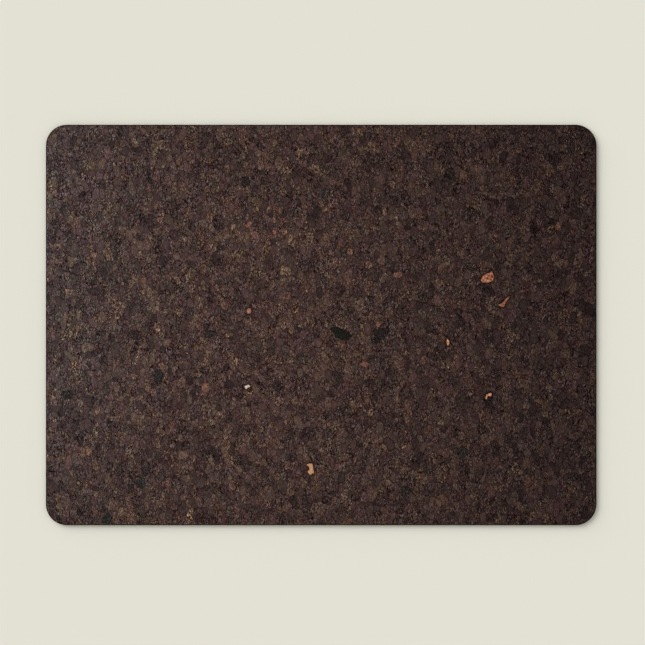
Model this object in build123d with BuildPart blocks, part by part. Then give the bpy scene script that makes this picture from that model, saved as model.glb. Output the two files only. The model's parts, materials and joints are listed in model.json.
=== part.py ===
from build123d import *
import os

# Desk mat: a sheet of dark smoked cork agglomerate, glued to a thin anti-slip backing
# and cut to a rectangle with rounded corners. Chips of cork that stand out one by one
# are bonded into the face, each in its own hollow, and sanded flush with it.
#
# Millimetres. +Z is up, +X runs along the long side and +Y away from the person at the
# desk. The origin is the middle of the underside, on the desk.

# Driving dimensions
mat_length = 550.0
mat_width = 400.0
mat_thickness = 4.0
corner_radius = 21.0
backing_thickness = 0.9
film_thickness = 0.1
edge_easing = 0.4  # radius of the sanded upper edge
bark_chip_depth = 1.5
charred_chip_depth = 2.0
chip_taper = 10.0  # degrees that a chip's sides lean in towards its hidden underside

# Heights of the glue lines above the desk
film_base = backing_thickness
face_base = film_base + film_thickness

# The chips. Each has its middle on the face, then its corners counted from that middle.
# Bark chips are cream, tan, orange, russet or brown, because the smoking missed them.
bark_chips = {
    "eyed_russet_chip": (
        (166, 47),
        [(-7, -2.5), (-5.5, 1), (-4, 2.5), (-1, 4.5), (2.5, 5.5), (4, 7), (5, 6.5),
         (6, 4), (7, 1), (6, -2.5), (4, -4), (0.5, -5), (-5.5, -5)],
    ),
    "streaked_russet_chip": (
        (182.5, 23),
        [(-6, -4), (-5.5, -2), (-3, -1.5), (-1, 0), (1, 2.5), (4.5, 6), (6.5, 5),
         (4.5, 2.5), (2.5, 0), (1.5, -2.5), (0, -5.5)],
    ),
    "bright_orange_chip": (
        (126.5, -17.5),
        [(-0.5, 4.5), (1, 3), (2, 1), (2, -1.5), (0.5, -4), (-1, -3), (-2, 0.5),
         (-1.5, 3)],
    ),
    "hooked_orange_chip": (
        (166, -71),
        [(-2.5, -3.5), (-2.5, -1), (-1.5, 1.5), (-1, 2.5), (0.5, 2.5), (1.5, 3.5),
         (4, 3.5), (5, 2), (4.5, 0), (3, -1), (1.5, -0.5), (0.5, -0.5), (0, -3.5)],
    ),
    "notched_tan_chip": (
        (-12, -144),
        [(-3.5, 4), (-2.5, 5), (0.5, 6), (3, 6), (4, 3.5), (4.5, 0.5), (5, -2.5),
         (5, -4.5), (3.5, -5), (3, -4.5), (2, -6), (0, -5.5), (-1.5, -3.5), (-2, -2),
         (-0.5, -0.5), (-0.5, 1.5), (-1, 2.5)],
    ),
    "cream_chip": (
        (-74, -62),
        [(-3.5, 1), (-1.5, 2), (1, 3), (3, 2), (4, 1), (3, -0.5), (1, -1), (-0.5, -2.5),
         (-2, -2), (-3, 0)],
    ),
    "dull_orange_wedge_chip": (
        (237, 99),
        [(-1, 5), (2, 2), (3, -4), (-3, -4.5), (-4, -2)],
    ),
    "small_orange_chip": (
        (-72, 14),
        [(-2.5, 1), (-1, 3), (1.5, 2.5), (2.5, 0), (1.5, -2.5), (-1.5, -3), (-2.5, -1)],
    ),
    "long_orange_chip": (
        (-72, 101),
        [(-5, -1), (-2, 0.5), (1, 3), (3.5, 2), (3, -1.5), (-3, -4), (-4.5, -2.5)],
    ),
    "square_orange_chip": (
        (-47, 93),
        [(-2.5, 1), (-0.5, 2), (2.5, 1.5), (2, -2), (0.5, -4), (-1.5, -2)],
    ),
    "upper_red_brown_chip": (
        (-67, 91),
        [(-4, 2.5), (3, 3), (5, -1), (2, -5.5), (-2, -5), (-4.5, 0)],
    ),
    "left_red_brown_chip": (
        (-115, -62),
        [(-2, 5), (3, 4), (3.5, -3), (1.5, -5), (-2, -5), (-4.5, -3.5), (-4.5, 1)],
    ),
    "middle_red_brown_chip": (
        (43, -39.5),
        [(-5, 0.5), (0, 3.5), (4, 2), (4, -2.5), (-1, -3)],
    ),
    "rose_brown_chip": (
        (-138, -130),
        [(-4.5, 4.5), (4, 4), (5.5, -2), (0, -4.5), (-5.5, -4.5)],
    ),
    "oblong_brown_chip": (
        (76, 50),
        [(-4.5, -2.5), (-3, 3), (4, 3.5), (5, 0), (3, -3)],
    ),
    "amber_chip": (
        (58, 2),
        [(-3.5, -1.5), (-3.5, 1.5), (2.5, 2), (3, -1), (1, -2.5), (0.5, -4.5), (-2.5, -4.5)],
    ),
}

# Charred chips are black, because they burned in the smoking.
charred_chips = {
    "centre_charred_chip": (
        (19.5, -8.5),
        [(-11.5, 5), (-7.5, 6.5), (-3.5, 6.5), (5.5, 3), (8.5, 1), (11, -2.5),
         (10, -4.5), (6, -7), (2.5, -7), (-1, -5.5), (-5.5, -4), (-6.5, -1), (-8.5, 2)],
    ),
    "ragged_charred_chip": (
        (59, -11),
        [(-6, 5.5), (-2.5, 7), (1, 8), (7, 8), (9, 5.5), (8.5, 3), (6.5, 0),
         (3.5, -2.5), (1, -4.5), (-2, -6.5), (-3.5, -8.5), (-5, -8), (-6, -5.5),
         (-9.5, -5), (-8, -3), (-6, -2), (-6.5, 1)],
    ),
    "tall_charred_chip": (
        (-162, -52),
        [(-3, 8), (1, 7.5), (5, 3), (3, -2), (2, -7.5), (-3.5, -7), (-5, 0)],
    ),
    "left_edge_charred_chip": (
        (-254, -70),
        [(-5, 4), (4, 5), (5, 1.5), (6, -3.5), (0, -4), (-5, -3), (-6.5, 0)],
    ),
    "flat_charred_chip": (
        (-110, -9),
        [(-7, 0), (-2.5, 3.5), (4.5, 3.5), (4.5, -1), (0, -3.5), (-5.5, -3.5)],
    ),
    "lower_left_charred_chip": (
        (-179, -155),
        [(-1, 3.5), (2.5, 1.5), (3.5, -4), (1.5, -8), (-3.5, -6), (-7, -2.5)],
    ),
    "bottom_edge_charred_chip": (
        (-214, -193),
        [(2.5, 5.5), (4.5, 1), (4, -5), (-5, -5), (-5, 0.5), (-1, 3.5)],
    ),
    "lower_right_charred_chip": (
        (142, -127),
        [(-6, 4), (0, 5), (5, 3), (4, -3), (-2, -7), (-6, -3)],
    ),
    "lower_charred_chip": (
        (85, -166),
        [(-6, 4.5), (0, 5), (5, 2.5), (3.5, -2), (0, -5), (-4.5, -1.5)],
    ),
    "wide_charred_chip": (
        (-187, -10),
        [(-3.5, 4.5), (6.5, 4), (7.5, -2), (6.5, -5), (1, -4.5), (-7.5, -1)],
    ),
    "upper_left_charred_chip": (
        (-74, 143),
        [(-5.5, 5), (1, 5), (3.5, 0.5), (1.5, -4.5), (-5.5, -4)],
    ),
    "upper_charred_chip": (
        (0, 132),
        [(-2, 5), (3.5, 5), (4.5, -1), (1.5, -5), (-3, -3.5)],
    ),
}


def make_chip(name, middle, corners, depth):
    """A chip flush with the face, whose sides lean in towards its hidden underside."""
    with BuildPart() as chip:
        with BuildSketch(Plane(origin=(*middle, mat_thickness))):
            with BuildLine():
                Polyline(*corners, close=True)
            make_face()
        extrude(amount=-depth, taper=chip_taper)
    chip.part.label = name
    export_step(chip.part, f"parts/{name}.step")
    return chip.part


os.makedirs("parts", exist_ok=True)

# The anti-slip backing is the layer that rests on the desk.
with BuildPart() as grip_backing:
    with BuildSketch(Plane.XY):
        RectangleRounded(mat_length, mat_width, corner_radius)
    extrude(amount=backing_thickness)
grip_backing.part.label = "grip_backing"
export_step(grip_backing.part, "parts/grip_backing.step")

# The glue film is as large as the mat, because the mat is cut after it is laminated.
with BuildPart() as adhesive_film:
    with BuildSketch(Plane.XY.offset(film_base)):
        RectangleRounded(mat_length, mat_width, corner_radius)
    extrude(amount=film_thickness)
adhesive_film.part.label = "adhesive_film"
export_step(adhesive_film.part, "parts/adhesive_film.step")

# Each chip is a piece of its own.
chips = []
for name, (middle, corners) in bark_chips.items():
    chips.append(make_chip(name, middle, corners, bark_chip_depth))
for name, (middle, corners) in charred_chips.items():
    chips.append(make_chip(name, middle, corners, charred_chip_depth))

# The face sheet has an eased upper edge and a hollow that fits each chip.
with BuildPart() as face_sheet:
    with BuildSketch(Plane.XY.offset(face_base)):
        RectangleRounded(mat_length, mat_width, corner_radius)
    extrude(amount=mat_thickness - face_base)
    upper_face = face_sheet.faces().sort_by(Axis.Z)[-1]
    fillet(upper_face.edges(), edge_easing)
    add(chips, mode=Mode.SUBTRACT)
face_sheet.part.label = "face_sheet"
export_step(face_sheet.part, "parts/face_sheet.step")
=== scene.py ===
import json
import math
import random

import bmesh
import bpy
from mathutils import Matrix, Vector, noise
from mathutils.geometry import delaunay_2d_cdt
from mathutils.kdtree import KDTree


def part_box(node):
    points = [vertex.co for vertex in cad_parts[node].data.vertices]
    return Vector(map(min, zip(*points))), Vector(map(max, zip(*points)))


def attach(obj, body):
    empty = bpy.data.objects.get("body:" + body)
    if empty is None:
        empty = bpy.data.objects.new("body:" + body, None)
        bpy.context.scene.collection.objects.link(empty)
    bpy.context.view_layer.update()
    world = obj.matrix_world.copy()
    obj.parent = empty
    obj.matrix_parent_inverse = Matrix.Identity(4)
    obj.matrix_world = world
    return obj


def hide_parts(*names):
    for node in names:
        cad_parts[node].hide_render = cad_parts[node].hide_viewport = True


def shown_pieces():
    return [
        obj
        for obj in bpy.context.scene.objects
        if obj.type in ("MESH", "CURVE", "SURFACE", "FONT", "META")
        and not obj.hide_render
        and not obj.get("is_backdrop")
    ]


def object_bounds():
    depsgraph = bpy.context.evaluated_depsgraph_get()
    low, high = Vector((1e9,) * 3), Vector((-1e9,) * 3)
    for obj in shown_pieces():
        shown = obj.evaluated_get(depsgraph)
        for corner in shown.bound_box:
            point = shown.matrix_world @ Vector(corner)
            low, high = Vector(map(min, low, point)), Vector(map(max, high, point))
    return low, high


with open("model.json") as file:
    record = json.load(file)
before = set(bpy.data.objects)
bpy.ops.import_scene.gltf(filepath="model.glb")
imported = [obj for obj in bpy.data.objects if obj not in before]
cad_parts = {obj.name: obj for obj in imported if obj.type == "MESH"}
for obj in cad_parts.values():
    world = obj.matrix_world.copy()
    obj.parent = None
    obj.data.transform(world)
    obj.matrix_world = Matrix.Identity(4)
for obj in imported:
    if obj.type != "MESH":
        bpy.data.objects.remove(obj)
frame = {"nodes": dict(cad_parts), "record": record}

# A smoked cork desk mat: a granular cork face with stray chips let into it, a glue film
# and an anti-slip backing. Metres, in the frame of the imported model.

MM = 0.001
cad_low, cad_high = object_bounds()

# The mat, from the frame
half_length = cad_high.x
half_width = cad_high.y
face_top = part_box("face_sheet")[1].z
face_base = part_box("face_sheet")[0].z
corner_radius = 21 * MM

# The cork face
crevice_depth = 0.16 * MM
height_spread = 0.30  # share of the crevice depth by which granules differ in height
granule_slope = 0.011  # steepest tilt of a granule's ground top
granule_share = 0.86  # a granule's ground top, as a share of its whole width
rim_band = 1.0 * MM  # the pressed band round the cut edge
rim_height = face_top - crevice_depth - 0.09 * MM  # of the crevices' floor and the rim
cell_rounds = (  # gap between middles, and how many throws, biggest cells first
    (8.5 * MM, 400),
    (6.4 * MM, 1800),
    (4.6 * MM, 14000),
    (3.3 * MM, 50000),
    (2.6 * MM, 60000),
)
cells_joined = 0.42  # share of the cells that join the cell above or below in one granule
joint_slope = 0.6  # steepest side that two joined cells may share
rim_step = 3.4 * MM  # between points on the rim
hollow_step = 1.7 * MM  # between points on the outline of a hollow
outline_gap = 2.4 * MM  # gap that a point on an outline counts as having
rim_clearance = 0.35  # share of its gap that a middle keeps off the rim band
saw_tear = 0.10 * MM  # how far the saw has torn the cut edge inwards at most
saw_tear_size = 1.3 * MM
wall_rows = (  # how far in, how high, and how much of the saw's tearing, from the top down
    (0.55 * MM, face_top - 0.26 * MM, 0.3),
    (0.18 * MM, face_top - 0.45 * MM, 0.6),
    (0.0, face_top - 0.75 * MM, 1.0),
    (0.0, face_top - 1.25 * MM, 1.0),
    (0.0, face_top - 1.80 * MM, 1.0),
    (0.0, face_top - 2.40 * MM, 1.0),
    (0.0, face_base, 0.0),
)
upper_wall = 0.6 * MM  # depth to which the cut edge is painted as dark as a crevice: partly the cut's own darker colour, partly painted shade
# How dark the upper and the lower cut edge are painted: partly the cut's own darker colour, partly
# painted shade
upper_wall_painted_dark = 0.9
lower_wall_painted_dark = 0.3
clear_chip = 0.5  # a chip dulled no more than this has a line of painted shade round it
shade_line_strength = 1.25  # how dark that painted shade line is at the chip's outline, held at 1
shade_line_fade = 1.5 * MM  # distance over which it grows lighter by 1

# The chips
chip_step = 0.45 * MM  # between points of a chip's mesh
chip_sunk = 0.03 * MM  # how far a chip's upper face lies below the mat's
chip_relief = 0.25 * MM  # depth of a chip's deepest pits
chip_pit_size = 1.5 * MM
chip_torn = 0.20 * MM  # how far a chip's rim is torn inwards
chip_torn_size = 1.2 * MM
chip_rim_sink_and_shade = 0.35  # how far a chip's rim sinks, as a share of its deepest pits, and how dark it is painted, as painted shade where it drops into the gap
chip_bevel = 0.10 * MM  # how far the upper face is drawn in from the eased edge
chip_shoulder = 0.25 * MM  # depth of the eased edge
chip_lean = 0.3 * MM  # how far the hidden underside is drawn in
chip_clearance = 0.05 * MM  # gap under the chip


# ---------------------------------------------------------------- outlines


def depth_inside(x, y):
    """How far a point lies inside the mat's rounded outline."""
    across = abs(x) - (half_length - corner_radius)
    along = abs(y) - (half_width - corner_radius)
    past_corner = math.hypot(max(across, 0), max(along, 0))
    return corner_radius - past_corner - min(max(across, along), 0)


def outward(x, y):
    """The direction straight out of the mat, for a point near its edge."""
    across = max(abs(x) - (half_length - corner_radius), 0)
    along = max(abs(y) - (half_width - corner_radius), 0)
    return Vector((math.copysign(across, x), math.copysign(along, y), 0)).normalized()


def mat_outline(inset, step, rng):
    """Points in order round the mat's rounded outline, drawn in by inset."""
    radius = corner_radius - inset
    reach_x = half_length - corner_radius
    reach_y = half_width - corner_radius
    middles = [
        Vector((reach_x, reach_y)),
        Vector((-reach_x, reach_y)),
        Vector((-reach_x, -reach_y)),
        Vector((reach_x, -reach_y)),
    ]
    turns = round(radius * math.pi / 2 / step)
    points = []
    for corner, middle in enumerate(middles):
        for k in range(turns + 1):
            angle = math.pi / 2 * (corner + k / turns)
            points.append(middle + radius * Vector((math.cos(angle), math.sin(angle))))
        arc_end = points[-1]
        side = middles[(corner + 1) % 4] - middle
        steps = round(side.length / step)
        points += [
            arc_end + side * (k + rng.uniform(-0.3, 0.3)) / steps for k in range(1, steps)
        ]
    return points


def chip_outline(node):
    """The corners of a chip's upper face, in order round it, read from its CAD solid."""
    mesh = frame["nodes"][node].data
    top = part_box(node)[1].z
    sides = set()
    for triangle in mesh.polygons:
        corners = [mesh.vertices[i].co for i in triangle.vertices]
        if min(c.z for c in corners) > top - 1e-6:
            keys = [(round(c.x, 6), round(c.y, 6)) for c in corners]
            sides.update(zip(keys, keys[1:] + keys[:1]))
    onward = {a: b for a, b in sides if (b, a) not in sides}
    loop = [min(onward)]
    while onward[loop[-1]] != loop[0]:
        loop.append(onward[loop[-1]])
    return [Vector(p) for p in loop]


def spaced_along(outline, step):
    """The outline with more points, about step apart, on its sides."""
    points = []
    for a, b in zip(outline, outline[1:] + outline[:1]):
        steps = max(1, round((b - a).length / step))
        points += [a.lerp(b, k / steps) for k in range(steps)]
    return points


def is_within(point, outline):
    """Whether a point lies inside a closed outline."""
    crossings = 0
    for a, b in zip(outline, outline[1:] + outline[:1]):
        if (a.y > point.y) != (b.y > point.y):
            x_there = a.x + (point.y - a.y) / (b.y - a.y) * (b.x - a.x)
            crossings += point.x < x_there
    return crossings % 2 == 1


def triangulate(rings, middles):
    """Delaunay triangles over the middles, with every ring's sides kept as edges."""
    points = [p for ring in rings for p in ring]
    sides = []
    first = 0
    for ring in rings:
        numbers = list(range(first, first + len(ring)))
        sides += zip(numbers, numbers[1:] + numbers[:1])
        first += len(ring)
    corners, _, triangles, *_ = delaunay_2d_cdt(points + middles, sides, [], 1, 1e-8)
    return corners, triangles


# ---------------------------------------------------------------- node helpers


def add(tree, kind, inputs=None, **settings):
    """A new node, with its settings made and its inputs set or linked."""
    node = tree.nodes.new(kind)
    for name, value in settings.items():
        setattr(node, name, value)
    for name, value in (inputs or {}).items():
        if isinstance(value, bpy.types.NodeSocket):
            tree.links.new(value, node.inputs[name])
        else:
            node.inputs[name].default_value = value
    return node


def math_node(tree, operation, a, b=0.0):
    """The result of one operation on two numbers."""
    return add(tree, "ShaderNodeMath", {0: a, 1: b}, operation=operation).outputs[0]


def times(tree, a, b):
    """The product of two numbers."""
    return math_node(tree, "MULTIPLY", a, b)


def plus(tree, a, b):
    """The sum of two numbers."""
    return math_node(tree, "ADD", a, b)


def reshuffled(tree, number, factor):
    """Another random number from 0 to 1, drawn out of a first one."""
    return math_node(tree, "FRACT", times(tree, number, factor))


def vector_node(tree, operation, a, b):
    """The result of one operation on two vectors or colours."""
    return add(tree, "ShaderNodeVectorMath", {0: a, 1: b}, operation=operation).outputs[0]


def combined(tree, x, y, z):
    """A vector or colour made of three numbers."""
    return add(tree, "ShaderNodeCombineXYZ", {"X": x, "Y": y, "Z": z}).outputs[0]


def apply_tree(piece, tree, values):
    """Run a geometry tree on a piece, with inputs by name, and keep the result as its mesh."""
    modifier = piece.modifiers.new(tree.name, "NODES")
    modifier.node_group = tree
    for item in tree.interface.items_tree:
        if item.name in values:
            modifier[item.identifier] = values[item.name]
    bpy.context.view_layer.update()
    evaluated = piece.evaluated_get(bpy.context.evaluated_depsgraph_get())
    finished = bpy.data.meshes.new_from_object(evaluated)
    piece.modifiers.clear()
    piece.data = finished


# ---------------------------------------------------------------- materials


def tone(red, green, blue):
    """A linear colour from display values of 0 to 255."""
    def linear(value):
        share = value / 255
        return share / 12.92 if share <= 0.04045 else ((share + 0.055) / 1.055) ** 2.4
    return (linear(red), linear(green), linear(blue), 1.0)


# Tones of a granule, from greyish through brown to the few that the smoke left reddish
smoke_tones = [
    (0.00, tone(43, 34, 35)),
    (0.08, tone(50, 40, 40)),
    (0.30, tone(57, 45, 45)),
    (0.55, tone(62, 48, 47)),
    (0.82, tone(68, 53, 47)),
    (0.97, tone(74, 57, 49)),
    (1.00, tone(83, 62, 53)),
]
moss = 0.08  # share by which a granule leans to green or to purple
own_warmth = 0.34  # share of a granule's place among the tones that is its own
light_warmth = 0.54  # share that goes with its lightness, because light granules are warmer
warm_fields = (-0.21, 0.25)  # how far the fields lean to the greyish or the reddish tones
warm_field_size = 14 * MM
lightness_range = (0.79, 1.19)  # of a whole granule
coarseness_range = (0.30, 1.66)  # how strongly the grain shows in a granule
cut_crumb = 3.6 * MM  # width of a crumb on the cut edge, where no granule is raised

# The grain inside a granule
grain_turn = math.radians(36)  # furthest that a granule's grain turns from the short side
grain_stretch = 0.42  # the grain's scale along the short side, so that it runs that way
streak_size = 0.46 * MM
fleck_size = 0.80 * MM
clump_size = 1.6 * MM
fleck_shades = [(0.00, 0.12), (0.12, 0.40), (0.50, 0.95), (0.88, 1.45), (1.00, 2.40)]
darkest_grain = 0.08
crevice_shade = 0.32  # a crevice's colour, as a share of the ground top's: partly the dark joint between granules, partly painted shade

# Crumbs in the rubber backing: how wide, and the share of that size's places left as rubber
rubber_crumbs = ((1.9 * MM, 0.70), (0.8 * MM, 0.78))
crumb_torn = 0.9 * MM  # how far the outline of a crumb wanders
crumb_torn_size = 0.8 * MM

# Powers for red, green and blue that make light flecks greyer and gaps redder
face_hue = (0.75, 1.00, 1.07)
bark_hue = (0.62, 1.00, 1.15)
pale_hue = (0.86, 1.00, 1.06)


def new_material(name, roughness, specular):
    """A material with its tree, its shader and the socket that gives the place on the piece."""
    material = bpy.data.materials.new(name)
    material.use_nodes = True
    tree = material.node_tree
    shader = tree.nodes["Principled BSDF"]
    shader.inputs["Roughness"].default_value = roughness
    shader.inputs["Specular IOR Level"].default_value = specular
    place = add(tree, "ShaderNodeTexCoord").outputs["Object"]
    return material, tree, shader, place


def ramp(tree, factor, stops):
    """A colour ramp with the given (place, colour) stops."""
    node = add(tree, "ShaderNodeValToRGB", {"Fac": factor})
    elements = node.color_ramp.elements
    while len(elements) < len(stops):
        elements.new(0.5)
    for element, (position, color) in zip(elements, stops):
        element.position = position
        element.color = color
    return node.outputs["Color"]


def remap(tree, value, low, high, to_low, to_high):
    """A number moved from one range to another, held at the ends."""
    inputs = {0: value, 1: low, 2: high, 3: to_low, 4: to_high}
    return add(tree, "ShaderNodeMapRange", inputs).outputs[0]


def shade(tree, color, factor):
    """A colour made darker or lighter by a factor."""
    node = add(tree, "ShaderNodeVectorMath", {0: color, "Scale": factor}, operation="SCALE")
    return node.outputs[0]


def mix(tree, factor, a, b):
    """Two colours mixed by a factor."""
    node = add(tree, "ShaderNodeMix", data_type="RGBA")
    for number, value in ((0, factor), (6, a), (7, b)):
        if isinstance(value, bpy.types.NodeSocket):
            tree.links.new(value, node.inputs[number])
        else:
            node.inputs[number].default_value = value
    return node.outputs[2]


def crumbs(tree, place, size, feature="F1"):
    """A Voronoi texture whose cells are about the given size."""
    inputs = {"Vector": place, "Scale": 1 / size}
    return add(tree, "ShaderNodeTexVoronoi", inputs, feature=feature)


def clouds(tree, place, size, detail, roughness):
    """A noise texture whose features are about the given size."""
    inputs = {"Vector": place, "Scale": 1 / size, "Detail": detail, "Roughness": roughness}
    return add(tree, "ShaderNodeTexNoise", inputs).outputs["Fac"]


def separate(tree, color):
    """The three numbers of a colour."""
    return tuple(add(tree, "ShaderNodeSeparateColor", {0: color}).outputs)


def cork_grain(tree, place, own):
    """The light flecks and dark gaps of ground cork, and how high they stand.

    Each granule's grain runs its own way, mostly along the mat's short side.
    """
    turn, shift_x, shift_y = own
    angle = remap(tree, turn, 0.0, 1.0, -grain_turn, grain_turn)
    turned = add(tree, "ShaderNodeVectorRotate", {"Vector": place, "Angle": angle}).outputs[0]
    along = vector_node(tree, "MULTIPLY", turned, (1.0, grain_stretch, 1.0))
    along = vector_node(tree, "ADD", along, combined(tree, shift_x, shift_y, 0.0))

    streak = clouds(tree, along, streak_size, 1, 0.5)
    shade_of_streak = remap(tree, streak, 0.28, 0.72, 0.20, 1.80)
    fleck = separate(tree, crumbs(tree, along, fleck_size).outputs["Color"])[0]
    greys = [(position, (grey, grey, grey, 1)) for position, grey in fleck_shades]
    shade_of_fleck = ramp(tree, fleck, greys)
    gap = crumbs(tree, along, clump_size, "DISTANCE_TO_EDGE").outputs["Distance"]
    shade_of_gap = remap(tree, gap, 0.0, 0.12, 0.35, 1.10)
    factor = times(tree, times(tree, shade_of_streak, shade_of_fleck), shade_of_gap)
    height = plus(tree, streak, times(tree, gap, 2.0))
    return factor, height


def grained(tree, color, factor, hue):
    """A colour with the grain laid over it. Light flecks are greyer than dark gaps."""
    toned = vector_node(tree, "POWER", combined(tree, factor, factor, factor), hue)
    return vector_node(tree, "MULTIPLY", color, toned)


def rough_surface(tree, shader, color, height, distance, strength):
    """Give the shader its colour and the small relief that is too fine for the mesh."""
    tree.links.new(color, shader.inputs["Base Color"])
    relief = {"Height": height, "Distance": distance, "Strength": strength}
    bump = add(tree, "ShaderNodeBump", relief)
    tree.links.new(bump.outputs["Normal"], shader.inputs["Normal"])


def smoked_cork():
    """Ground cork granules: a tone for each, grain inside it and crevices round it painted dark,
    partly as dark joints and partly as painted shade.
    """
    material, tree, shader, place = new_material("smoked_cork", 0.80, 0.02)
    granule = add(tree, "ShaderNodeAttribute", attribute_name="granule").outputs["Fac"]
    crevice_and_shade = add(tree, "ShaderNodeAttribute", attribute_name="crevice_and_shade").outputs["Fac"]
    own = add(tree, "ShaderNodeTexWhiteNoise", {"W": granule}, noise_dimensions="1D")
    cut = crumbs(tree, place, cut_crumb).outputs["Color"]
    is_cut = math_node(tree, "LESS_THAN", granule, 0.0)
    own = separate(tree, mix(tree, is_cut, own.outputs["Color"], cut))
    first, second, third = own

    # The tone, from the granule's own number, its lightness and the field that it lies in
    light = reshuffled(tree, first, 7.0)
    field = clouds(tree, place, warm_field_size, 2, 0.5)
    warmth = plus(tree, times(tree, third, own_warmth), remap(tree, field, 0.3, 0.7, *warm_fields))
    warmth = plus(tree, times(tree, light, light_warmth), warmth)
    color = ramp(tree, warmth, smoke_tones)
    green = remap(tree, second, 0.0, 1.0, 1.0 - moss, 1.0 + moss)
    color = vector_node(tree, "MULTIPLY", color, combined(tree, 1.0, green, 1.0))
    color = shade(tree, color, remap(tree, light, 0.0, 1.0, *lightness_range))

    # The grain, which is coarser in some granules, and the crevice painted dark: partly dark
    # joints, partly painted shade
    factor, height = cork_grain(tree, place, own)
    coarseness = plus(tree, reshuffled(tree, second, 11.0), third)
    coarseness = remap(tree, coarseness, 0.0, 2.0, *coarseness_range)
    factor = times(tree, math_node(tree, "SUBTRACT", factor, 1.0), coarseness)
    factor = math_node(tree, "MAXIMUM", plus(tree, factor, 1.0), darkest_grain)
    factor = times(tree, factor, remap(tree, crevice_and_shade, 0.1, 0.9, 1.0, crevice_shade))
    color = grained(tree, color, factor, face_hue)
    rough_surface(tree, shader, color, height, 0.2 * MM, 0.5)
    return material


def chip_cork(name, hue):
    """The cork of a chip: its own tint, streaked, and dulled by the smoke as far as it says."""
    material, tree, shader, place = new_material(name, 0.75, 0.04)
    tint = add(tree, "ShaderNodeAttribute", attribute_name="tint").outputs["Color"]
    dulled = add(tree, "ShaderNodeAttribute", attribute_name="dulled").outputs["Fac"]
    pit_and_rim_shade = add(tree, "ShaderNodeAttribute", attribute_name="pit_and_rim_shade").outputs["Fac"]
    number = add(tree, "ShaderNodeAttribute", attribute_name="granule").outputs["Fac"]
    own = add(tree, "ShaderNodeTexWhiteNoise", {"W": number}, noise_dimensions="1D")
    factor, height = cork_grain(tree, place, separate(tree, own.outputs["Color"]))
    factor = remap(tree, dulled, 0.0, 1.0, 1.0, factor)
    streak = remap(tree, clouds(tree, place, 1.9 * MM, 3, 0.6), 0.3, 0.7, 0.64, 1.36)
    fine = remap(tree, clouds(tree, place, 0.6 * MM, 2, 0.5), 0.3, 0.7, 0.75, 1.25)
    # The pit mark darkens the dark eyes and pits, and paints shade on the chip's rim
    for shading in (streak, fine, remap(tree, pit_and_rim_shade, 0.0, 1.0, 1.0, 0.16)):
        factor = times(tree, factor, shading)
    color = grained(tree, tint, factor, hue)
    rough_surface(tree, shader, color, height, 0.12 * MM, 0.4)
    return material


def grip_rubber():
    """Dark rubber with cork crumbs of two sizes pressed into it."""
    material, tree, shader, place = new_material("grip_rubber", 0.85, 0.25)
    torn = add(tree, "ShaderNodeTexNoise", {"Vector": place, "Scale": 1 / crumb_torn_size})
    torn = vector_node(tree, "SUBTRACT", torn.outputs["Color"], (0.5, 0.5, 0.5))
    torn = vector_node(tree, "MULTIPLY", torn, (crumb_torn, crumb_torn, crumb_torn))
    ragged = vector_node(tree, "ADD", place, torn)
    fine = clouds(tree, place, 0.25 * MM, 2, 0.6)
    color = mix(tree, fine, tone(27, 26, 26), tone(46, 43, 42))
    raised = fine
    for size, rubber_share in rubber_crumbs:
        kind, tint, _ = separate(tree, crumbs(tree, ragged, size).outputs["Color"])
        crumb = ramp(tree, tint, [
            (0.0, tone(66, 50, 41)),
            (0.6, tone(92, 69, 54)),
            (1.0, tone(126, 98, 74)),
        ])
        crumb = shade(tree, crumb, remap(tree, fine, 0.3, 0.7, 0.65, 1.30))
        is_crumb = math_node(tree, "GREATER_THAN", kind, rubber_share)
        color = mix(tree, is_crumb, color, crumb)
        raised = plus(tree, raised, is_crumb)
    rough_surface(tree, shader, color, raised, 0.12 * MM, 0.5)
    return material


def glue():
    """The thin line of brown glue between face and backing."""
    material, tree, shader, place = new_material("glue_film", 0.5, 0.4)
    patches = clouds(tree, place, 3 * MM, 2, 0.5)
    color = mix(tree, patches, tone(50, 42, 34), tone(72, 60, 48))
    tree.links.new(color, shader.inputs["Base Color"])
    return material


# ---------------------------------------------------------------- the cork face


def throw_middles(obstacles, hollows, rng):
    """Middles of the granules, thrown at random, clear of each other and of the outlines."""
    bucket = cell_rounds[0][0]
    taken = {}

    def key(x, y):
        return (math.floor(x / bucket), math.floor(y / bucket))

    for point in obstacles:
        taken.setdefault(key(*point), []).append((point.x, point.y, outline_gap))
    middles = []
    for gap, throws in cell_rounds:
        for _ in range(throws):
            x = rng.uniform(-half_length, half_length)
            y = rng.uniform(-half_width, half_width)
            if depth_inside(x, y) < rim_band + rim_clearance * gap:
                continue
            column, row = key(x, y)
            near = (
                other
                for i in (column - 1, column, column + 1)
                for j in (row - 1, row, row + 1)
                for other in taken.get((i, j), ())
            )
            if any(math.hypot(x - u, y - v) < (gap + own) / 2 for u, v, own in near):
                continue
            point = Vector((x, y))
            if any(is_within(point, hollow) for hollow in hollows):
                continue
            taken.setdefault((column, row), []).append((x, y, gap))
            middles.append(point)
    return middles


def granule_lattice(rng):
    """Flat triangles whose corners are the granules' middles, left out where a chip lies."""
    rim = mat_outline(rim_band, rim_step, rng)
    hollows = [spaced_along(chip_outline(node), hollow_step) for node in chip_nodes]
    obstacles = rim + [p for hollow in hollows for p in hollow]
    middles = throw_middles(obstacles, hollows, rng)
    corners, triangles = triangulate([rim] + hollows, middles)
    kept = []
    for triangle in triangles:
        middle = sum((corners[i] for i in triangle), Vector((0, 0))) / 3
        if not any(is_within(middle, hollow) for hollow in hollows):
            kept.append(triangle)
    mesh = bpy.data.meshes.new("cork_face")
    mesh.from_pydata([(p.x, p.y, rim_height) for p in corners], [], kept)
    return mesh


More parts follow.
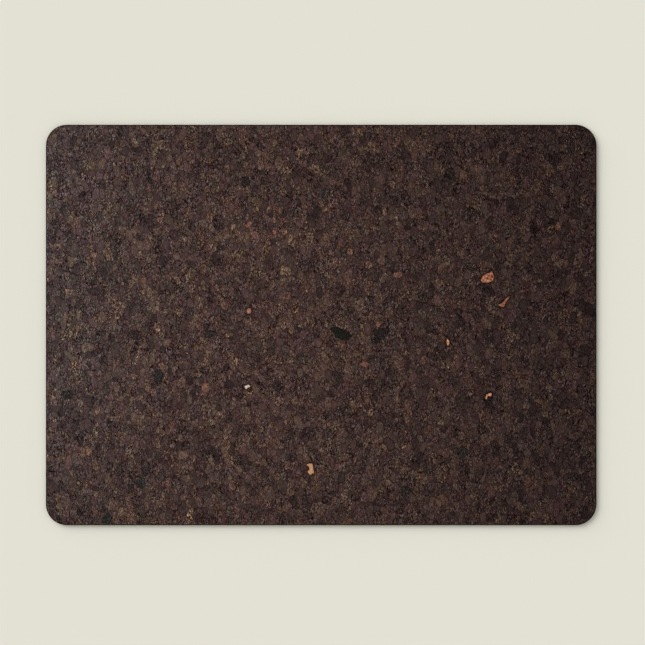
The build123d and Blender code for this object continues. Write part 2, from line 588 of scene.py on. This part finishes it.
def join_cells(mesh, rng):
    """Join some cells to a neighbour above or below, so that granules differ in outline."""
    bm = bmesh.new()
    bm.from_mesh(mesh)
    joined = set()
    edges = []
    for edge in bm.edges:
        if len(edge.link_faces) != 2 or joined & set(edge.link_faces):
            continue
        side = edge.verts[1].co - edge.verts[0].co
        if abs(side.y) < joint_slope * abs(side.x) and rng.random() < cells_joined:
            edges.append(edge)
            joined.update(edge.link_faces)
    bmesh.ops.dissolve_edges(bm, edges=edges, use_verts=True)
    bm.to_mesh(mesh)
    bm.free()


def cell_tree():
    """Geometry nodes that turn a lattice of middles into the cells round them."""
    tree = bpy.data.node_groups.new("Cork cells", "GeometryNodeTree")
    sockets = tree.interface
    sockets.new_socket("Lattice", in_out="INPUT", socket_type="NodeSocketGeometry")
    sockets.new_socket("Cells", in_out="OUTPUT", socket_type="NodeSocketGeometry")
    given = add(tree, "NodeGroupInput").outputs
    cells = add(tree, "GeometryNodeDualMesh", {"Mesh": given["Lattice"], "Keep Boundaries": True})
    real = add(tree, "GeometryNodeRealizeInstances", {"Geometry": cells.outputs[0]})
    add(tree, "NodeGroupOutput", {"Cells": real.outputs[0]})
    return tree


def granule_tree():
    """Geometry nodes that raise a granule on each cell and leave a crevice round it."""
    tree = bpy.data.node_groups.new("Cork granules", "GeometryNodeTree")
    sockets = tree.interface
    sockets.new_socket("Cells", in_out="INPUT", socket_type="NodeSocketGeometry")
    for name in ("Crevice depth", "Height spread", "Granule slope", "Granule share"):
        sockets.new_socket(name, in_out="INPUT", socket_type="NodeSocketFloat")
    sockets.new_socket("Seed", in_out="INPUT", socket_type="NodeSocketInt")
    sockets.new_socket("Cork", in_out="INPUT", socket_type="NodeSocketMaterial")
    sockets.new_socket("Granules", in_out="OUTPUT", socket_type="NodeSocketGeometry")
    given = add(tree, "NodeGroupInput").outputs

    index = add(tree, "GeometryNodeInputIndex").outputs[0]
    own = add(tree, "FunctionNodeRandomValue", {"ID": index, "Seed": given["Seed"]})
    named = add(
        tree,
        "GeometryNodeStoreNamedAttribute",
        {"Geometry": given["Cells"], "Name": "granule", "Value": own.outputs["Value"]},
        data_type="FLOAT",
        domain="FACE",
    )
    middle = add(tree, "GeometryNodeCaptureAttribute", domain="FACE")
    middle.capture_items.new("VECTOR", "Middle")
    middle.capture_items.new("VECTOR", "Tilt")
    position = add(tree, "GeometryNodeInputPosition").outputs[0]
    tilt = add(
        tree,
        "FunctionNodeRandomValue",
        {0: (-1, -1, 0), 1: (1, 1, 0), "ID": index, "Seed": given["Seed"]},
        data_type="FLOAT_VECTOR",
    )
    tree.links.new(named.outputs[0], middle.inputs["Geometry"])
    tree.links.new(position, middle.inputs["Middle"])
    tree.links.new(tilt.outputs[0], middle.inputs["Tilt"])

    raised = add(
        tree,
        "GeometryNodeExtrudeMesh",
        {"Mesh": middle.outputs["Geometry"], "Offset Scale": 0.0, "Individual": True},
        mode="FACES",
    )
    top = raised.outputs["Top"]
    drawn_in = add(
        tree,
        "GeometryNodeScaleElements",
        {"Geometry": raised.outputs["Mesh"], "Selection": top, "Scale": given["Granule share"]},
        domain="FACE",
    )
    granule = add(
        tree, "GeometryNodeInputNamedAttribute", {"Name": "granule"}, data_type="FLOAT"
    ).outputs["Attribute"]
    sunk = times(tree, granule, given["Height spread"])
    lift = times(tree, given["Crevice depth"], math_node(tree, "SUBTRACT", 1.0, sunk))
    arm = vector_node(tree, "SUBTRACT", position, middle.outputs["Middle"])
    rise = add(
        tree,
        "ShaderNodeVectorMath",
        {0: arm, 1: middle.outputs["Tilt"]},
        operation="DOT_PRODUCT",
    ).outputs["Value"]
    leaning = times(tree, rise, given["Granule slope"])
    offset = combined(tree, 0.0, 0.0, plus(tree, lift, leaning))
    ground = add(
        tree,
        "GeometryNodeSetPosition",
        {"Geometry": drawn_in.outputs[0], "Selection": top, "Offset": offset},
    )
    # Mark the crevice floors, which the cork material paints dark, partly as dark joints and
    # partly as painted shade
    low = math_node(tree, "SUBTRACT", 1.0, top)
    marked = add(
        tree,
        "GeometryNodeStoreNamedAttribute",
        {"Geometry": ground.outputs[0], "Name": "crevice_and_shade", "Value": low},
        data_type="FLOAT",
        domain="POINT",
    )
    flat = add(
        tree, "GeometryNodeSetShadeSmooth", {"Geometry": marked.outputs[0], "Shade Smooth": False}
    )
    real = add(tree, "GeometryNodeRealizeInstances", {"Geometry": flat.outputs[0]})
    dressed = add(
        tree, "GeometryNodeSetMaterial", {"Geometry": real.outputs[0], "Material": given["Cork"]}
    )
    add(tree, "NodeGroupOutput", {"Granules": dressed.outputs[0]})
    return tree


def wall_row(bm, edges, place):
    """Extrude a loop of edges once and move each new corner to the place that it is given."""
    made = bmesh.ops.extrude_edge_only(bm, edges=edges)["geom"]
    for item in made:
        if isinstance(item, bmesh.types.BMVert):
            item.co = place(item.co)
    return [item for item in made if isinstance(item, bmesh.types.BMEdge)]


def saw_roughness(point):
    """How far the cut edge is torn inwards at a point."""
    return saw_tear * max(0.0, noise.noise(point / saw_tear_size))


def close_sheet(mesh):
    """Give the granular top its cut edge, its underside and a hollow for each chip."""
    bm = bmesh.new()
    bm.from_mesh(mesh)
    granule = bm.faces.layers.float["granule"]
    crevice_and_shade = bm.verts.layers.float["crevice_and_shade"]
    ready = set(bm.faces)
    open_edges = [e for e in bm.edges if e.is_boundary]
    rim = [e for e in open_edges if depth_inside(*e.verts[0].co.xy) < 1.5 * rim_band]
    hollow_edges = set(open_edges) - set(rim)

    def row(inset, height, torn):
        def place(co):
            out = outward(co.x, co.y)
            edge = co + out * (depth_inside(co.x, co.y) - inset)
            edge.z = height
            return edge - out * saw_roughness(edge) * torn
        return place

    edges = rim
    for inset, height, torn in wall_rows:
        edges = wall_row(bm, edges, row(inset, height, torn))
    bmesh.ops.contextual_create(bm, geom=edges)

    margin = MM / 10
    for node in chip_nodes:
        low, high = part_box(node)
        loop = [
            e
            for e in hollow_edges
            if low.x - margin < e.verts[0].co.x < high.x + margin
            and low.y - margin < e.verts[0].co.y < high.y + margin
        ]
        bottom = wall_row(bm, loop, lambda co: Vector((co.x, co.y, low.z)))
        bmesh.ops.contextual_create(bm, geom=bottom)

    # Painted shade on the granules round each clear chip, darkest at its outline
    rings = [
        point
        for node in chip_nodes if chip_looks[node][1] <= clear_chip
        for point in spaced_along(chip_outline(node), 0.3 * MM)
    ]
    beside = KDTree(len(rings))
    for number, point in enumerate(rings):
        beside.insert((point.x, point.y, 0), number)
    beside.balance()
    for vertex in bm.verts:
        if vertex.co.z > rim_height + MM / 100:
            gap = beside.find((vertex.co.x, vertex.co.y, 0))[2]
            vertex[crevice_and_shade] = max(vertex[crevice_and_shade], min(1.0, shade_line_strength - gap / shade_line_fade))

    # Faces of the cut edge, the underside and the hollows belong to no granule. Their corners are
    # painted dark, most on the upper cut edge: partly the cut's own darker colour, partly painted
    # shade
    for face in set(bm.faces) - ready:
        face[granule] = -1.0
        for vertex in face.verts:
            if all(f not in ready for f in vertex.link_faces):
                is_upper = vertex.co.z > face_top - upper_wall
                vertex[crevice_and_shade] = upper_wall_painted_dark if is_upper else lower_wall_painted_dark
    bmesh.ops.recalc_face_normals(bm, faces=bm.faces)
    bm.to_mesh(mesh)
    bm.free()


def make_face(cork):
    """The granular cork face, with its cut edge and the hollows for the chips."""
    rng = random.Random(11)
    piece = bpy.data.objects.new("cork_face", granule_lattice(rng))
    bpy.context.scene.collection.objects.link(piece)
    apply_tree(piece, cell_tree(), {})
    join_cells(piece.data, rng)
    apply_tree(piece, granule_tree(), {
        "Crevice depth": crevice_depth,
        "Height spread": height_spread,
        "Granule slope": granule_slope,
        "Granule share": granule_share,
        "Seed": 5,
        "Cork": cork,
    })
    close_sheet(piece.data)
    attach(piece, "root")
    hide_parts("face_sheet")
    return piece


# ---------------------------------------------------------------- the chips


def chip_mesh(node, eyes, rim):
    """One chip: a ground but pitted upper face, an eased rim and a rough hidden underside."""
    low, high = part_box(node)
    middle = Vector(((low.x + high.x) / 2, (low.y + high.y) / 2))

    def drawn_in(points, inset):
        moved = []
        for k, point in enumerate(points):
            along = (points[(k + 1) % len(points)] - points[k - 1]).normalized()
            inwards = Vector((-along.y, along.x))
            ragged = max(0.0, 0.6 + 1.3 * noise.noise(Vector((*point, 0)) / chip_torn_size))
            moved.append(point + inwards * (inset + chip_torn * ragged))
        return moved

    ring = spaced_along(chip_outline(node), chip_step)
    upper = drawn_in(ring, rim)

    # Points over the upper face, clear of its rim
    rng = random.Random(len(ring))
    inner = []
    columns = int((high.x - low.x) / chip_step)
    rows = int((high.y - low.y) / chip_step)
    for i in range(columns + 1):
        for j in range(rows + 1):
            point = Vector((
                low.x + (i + rng.uniform(0.2, 0.8)) * chip_step,
                low.y + (j + rng.uniform(0.2, 0.8)) * chip_step,
            ))
            clear = all((point - q).length > 0.7 * chip_step for q in upper)
            if clear and is_within(point, upper):
                inner.append(point)
    corners, triangles = triangulate([upper], inner)
    triangles = [
        t for t in triangles
        if is_within(sum((corners[i] for i in t), Vector((0, 0))) / 3, upper)
    ]

    bm = bmesh.new()
    pit_and_rim_shade = bm.verts.layers.float.new("pit_and_rim_shade")
    dulled = bm.verts.layers.float.new("dulled")
    granule = bm.verts.layers.float.new("granule")
    tint = bm.verts.layers.float_color.new("tint")
    verts = []
    for number, corner in enumerate(corners):
        sunk_and_darkened = max(0.0, noise.noise(Vector((*corner, 0.3)) / chip_pit_size) - 0.15) * 1.6
        for (x, y), radius, darkness in eyes:
            near = (corner - middle - Vector((x, y))).length / radius
            sunk_and_darkened = max(sunk_and_darkened, darkness * min(1.0, 1.6 - 1.6 * near ** 2))
        # The rim sinks a little and is painted dark, as painted shade where it drops into the gap
        # round the chip
        if number < len(upper):
            sunk_and_darkened = chip_rim_sink_and_shade
        vertex = bm.verts.new((*corner, high.z - chip_sunk - chip_relief * sunk_and_darkened))
        vertex[pit_and_rim_shade] = sunk_and_darkened
        verts.append(vertex)
    for triangle in triangles:
        bm.faces.new([verts[i] for i in triangle])
    loop = [e for e in bm.edges if e.is_boundary]
    shoulder = drawn_in(ring, max(0.0, rim - chip_bevel))

    def ease(co):
        nearest = min(shoulder, key=lambda p: (p - co.xy).length)
        return Vector((*nearest, high.z - chip_shoulder))

    def sink(co):
        inwards = (middle - co.xy).normalized() * chip_lean
        return Vector((*(co.xy + inwards), low.z + chip_clearance))

    loop = wall_row(bm, loop, ease)
    loop = wall_row(bm, loop, sink)
    bmesh.ops.contextual_create(bm, geom=loop)
    color, smoke = chip_looks[node]
    # The chip's own number turns and shifts its grain
    for vertex in bm.verts:
        vertex[tint] = tone(*color)
        vertex[dulled] = smoke
        vertex[granule] = abs(middle.x * 7.1 + middle.y * 3.3) % 1.0
    bmesh.ops.recalc_face_normals(bm, faces=bm.faces)
    mesh = bpy.data.meshes.new(node + "_grain")
    bm.to_mesh(mesh)
    bm.free()
    return mesh


def make_chip(node, slot, material):
    """A detailed chip in place of its CAD solid."""
    mesh = chip_mesh(node, eyes_of.get(node, ()), rim_of.get(node, chip_bevel))
    piece = bpy.data.objects.new(node.replace("_chip", "_cork"), mesh)
    bpy.context.scene.collection.objects.link(piece)
    piece.data.materials.append(material)
    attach(piece, "root")
    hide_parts(node)
    return piece


# ---------------------------------------------------------------- the pieces

slot_of = {part["node"]: part["material_slot"] for part in frame["record"]["subparts"]}
chip_nodes = [node for node in sorted(frame["nodes"]) if node.endswith("_chip")]

# Each chip's tint, and how far the smoke has dulled it towards the look of the face
chip_looks = {
    "eyed_russet_chip": ((158, 111, 92), 0.3),
    "streaked_russet_chip": ((140, 101, 84), 0.5),
    "bright_orange_chip": ((174, 129, 103), 0.2),
    "hooked_orange_chip": ((181, 134, 106), 0.2),
    "notched_tan_chip": ((156, 121, 95), 0.25),
    "cream_chip": ((168, 157, 154), 0.25),
    "dull_orange_wedge_chip": ((95, 67, 59), 0.9),
    "small_orange_chip": ((122, 87, 76), 0.3),
    "long_orange_chip": ((98, 70, 62), 0.8),
    "square_orange_chip": ((100, 69, 60), 0.65),
    "upper_red_brown_chip": ((83, 59, 57), 0.6),
    "left_red_brown_chip": ((93, 66, 59), 0.75),
    "middle_red_brown_chip": ((90, 64, 59), 0.6),
    "rose_brown_chip": ((80, 62, 58), 0.55),
    "oblong_brown_chip": ((94, 69, 63), 0.8),
    "amber_chip": ((94, 70, 61), 1.0),
    "centre_charred_chip": ((25, 24, 23), 0.6),
    "ragged_charred_chip": ((33, 29, 29), 0.9),
    "tall_charred_chip": ((36, 32, 33), 0.9),
    "left_edge_charred_chip": ((36, 31, 32), 0.9),
    "flat_charred_chip": ((38, 34, 33), 1.0),
    "lower_left_charred_chip": ((39, 38, 38), 1.0),
    "bottom_edge_charred_chip": ((36, 35, 35), 0.9),
    "lower_right_charred_chip": ((43, 38, 37), 1.0),
    "lower_charred_chip": ((39, 34, 34), 1.0),
    "wide_charred_chip": ((39, 30, 30), 0.9),
    "upper_left_charred_chip": ((34, 29, 30), 1.0),
    "upper_charred_chip": ((45, 41, 43), 1.0),
}
# How the hue of a chip's grain goes with its lightness, by the material it is made of
hue_of_slot = {
    "russet_bark": bark_hue,
    "orange_bark": pale_hue,
    "brown_bark": pale_hue,
    "pale_cork": pale_hue,
    "charred_cork": pale_hue,
}
chip_materials = {slot: chip_cork(slot, hue) for slot, hue in hue_of_slot.items()}

# How far a chip's upper face is drawn in from its hollow, where that differs from the rest
rim_of = {
    "eyed_russet_chip": 0.35 * MM,
    "streaked_russet_chip": 0.30 * MM,
    "bright_orange_chip": 0.45 * MM,
    "hooked_orange_chip": 0.50 * MM,
    "notched_tan_chip": 0.32 * MM,
    "cream_chip": 0.50 * MM,
    "small_orange_chip": 0.0,
}

# Dark eyes in a chip: where each is from the chip's middle, its radius and how dark it is
eyes_of = {
    "eyed_russet_chip": [
        ((4.5 * MM, 1.0 * MM), 1.4 * MM, 1.0),
        ((4.8 * MM, 0.0 * MM), 1.5 * MM, 1.0),
        ((-0.3 * MM, -1.5 * MM), 1.4 * MM, 1.0),
        ((0.6 * MM, -1.8 * MM), 1.1 * MM, 0.8),
        ((0.7 * MM, 1.3 * MM), 1.2 * MM, 0.70),
        ((1.9 * MM, 1.3 * MM), 1.3 * MM, 0.75),
        ((3.5 * MM, -2.4 * MM), 1.4 * MM, 0.80),
        ((2.3 * MM, -2.6 * MM), 1.1 * MM, 0.4),
        ((-3.9 * MM, -3.4 * MM), 1.4 * MM, 0.55),
        ((-2.8 * MM, -1.0 * MM), 1.5 * MM, 0.35),
        ((-2.4 * MM, 0.9 * MM), 1.2 * MM, 0.3),
    ],
    "streaked_russet_chip": [
        ((-2.2 * MM, -2.5 * MM), 1.3 * MM, 0.45),
        ((-0.9 * MM, -2.3 * MM), 1.3 * MM, 0.45),
        ((0.1 * MM, -0.6 * MM), 1.3 * MM, 0.30),
        ((4.9 * MM, 4.7 * MM), 1.8 * MM, 0.50),
    ],
    "bright_orange_chip": [((-0.7 * MM, 0.1 * MM), 1.3 * MM, 0.55)],
    "hooked_orange_chip": [((-1.0 * MM, 0.9 * MM), 1.1 * MM, 0.40)],
}

make_face(smoked_cork())
for node in chip_nodes:
    slot = slot_of[node]
    make_chip(node, slot, chip_materials[slot])
for node, material in (("adhesive_film", glue()), ("grip_backing", grip_rubber())):
    frame["nodes"][node].data.materials.clear()
    frame["nodes"][node].data.materials.append(material)


# ---------------------------------------------------------------- floor, light and camera

floor_reach = 40.0
floor_gap = 0.02 * MM  # between the floor and the mat's underside
floor_albedo = (0.803, 0.790, 0.701, 1)
backdrop_color = (0.764, 0.748, 0.656, 1)  # as pale as the lit floor, so no horizon shows
sky_color = (1, 0.985, 0.96, 1)
sky_strength = 0.48

# The floor is lit by a wide low sun from the far left and by an even ceiling
sun_strength = 2.66
sun_place = (-1.35, 1.12, 0.82)
sun_spread = math.radians(56)
ceiling_strength = 0.38
ceiling_spread = math.pi

# The mat is lit by a warm softbox over its left half and a cool window low at its left end
softbox_power = 2.29
softbox_place = (-0.093, -0.013, 0.374)
softbox_sides = (0.215, 0.606)
softbox_color = (1.0, 0.926, 0.782)
window_power = 1.83
window_place = (-0.388, 0.37, 0.12)
window_sides = (0.3, 1.109)
window_color = (0.703, 0.981, 1.0)

# A long lens straight above, a little right of and above the mat's middle
view_width = 644.1 * MM
view_middle = (1.30 * MM, 2.44 * MM)
lens = 150.0
sensor = 36.0


def make_floor():
    """A wide pale floor that the mat lies on."""
    reach = floor_reach
    mesh = bpy.data.meshes.new("floor")
    mesh.from_pydata(
        [(-reach, -reach, 0), (reach, -reach, 0), (reach, reach, 0), (-reach, reach, 0)],
        [],
        [(0, 1, 2, 3)],
    )
    floor = bpy.data.objects.new("floor", mesh)
    floor.location.z = cad_low.z - floor_gap
    bpy.context.scene.collection.objects.link(floor)
    material, _, shader, _ = new_material("pale_floor", 1.0, 0.0)
    shader.inputs["Base Color"].default_value = floor_albedo
    mesh.materials.append(material)
    floor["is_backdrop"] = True
    return floor


def lit_only(light, name, objects):
    """Let a light reach only the given objects."""
    group = bpy.data.collections.new(name)
    for piece in objects:
        group.objects.link(piece)
    light.light_linking.receiver_collection = group


def make_light(name, kind, energy, location=(0, 0, 1), aim=(0, 0, 0), **settings):
    """A light that points from its location at its aim and isn't seen itself."""
    data = bpy.data.lights.new(name, kind)
    data.energy = energy
    for key, value in settings.items():
        setattr(data, key, value)
    light = bpy.data.objects.new(name, data)
    light.location = location
    direction = Vector(aim) - Vector(location)
    light.rotation_euler = direction.to_track_quat("-Z", "Y").to_euler()
    light.visible_camera = False
    bpy.context.scene.collection.objects.link(light)
    return light


def make_panel(name, power, place, sides, color):
    """A rectangular light that faces straight down."""
    below = (place[0], place[1], 0)
    width, length = sides
    return make_light(
        name, "AREA", power, place, below,
        shape="RECTANGLE", size=width, size_y=length, color=color,
    )


floor = make_floor()
sun = make_light("window_light", "SUN", sun_strength, sun_place, angle=sun_spread)
ceiling = make_light("ceiling_light", "SUN", ceiling_strength, angle=ceiling_spread)
for light in (sun, ceiling):
    lit_only(light, light.name + "_floor_only", [floor])
softbox = make_panel("softbox", softbox_power, softbox_place, softbox_sides, softbox_color)
cool_window = make_panel("cool_window", window_power, window_place, window_sides, window_color)
for light in (softbox, cool_window):
    light.visible_glossy = False
    lit_only(light, light.name + "_mat_only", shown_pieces())

# The sky lights the mat and the floor, and the camera sees the backdrop in its place
world = bpy.data.worlds.new("studio")
world.use_nodes = True
tree = world.node_tree
sky = tree.nodes["Background"]
sky.inputs["Color"].default_value = sky_color
sky.inputs["Strength"].default_value = sky_strength
backdrop = add(tree, "ShaderNodeBackground", {"Color": backdrop_color})
seen = add(tree, "ShaderNodeLightPath").outputs["Is Camera Ray"]
shaders = {0: seen, 1: sky.outputs[0], 2: backdrop.outputs[0]}
both = add(tree, "ShaderNodeMixShader", shaders)
tree.links.new(both.outputs[0], tree.nodes["World Output"].inputs["Surface"])
bpy.context.scene.world = world
bpy.context.scene.view_settings.view_transform = "Standard"

camera_data = bpy.data.cameras.new("camera")
camera_data.lens = lens
camera_data.sensor_width = sensor
camera = bpy.data.objects.new("camera", camera_data)
camera.location = (*view_middle, face_top + view_width * lens / sensor)
bpy.context.scene.collection.objects.link(camera)
bpy.context.scene.camera = camera
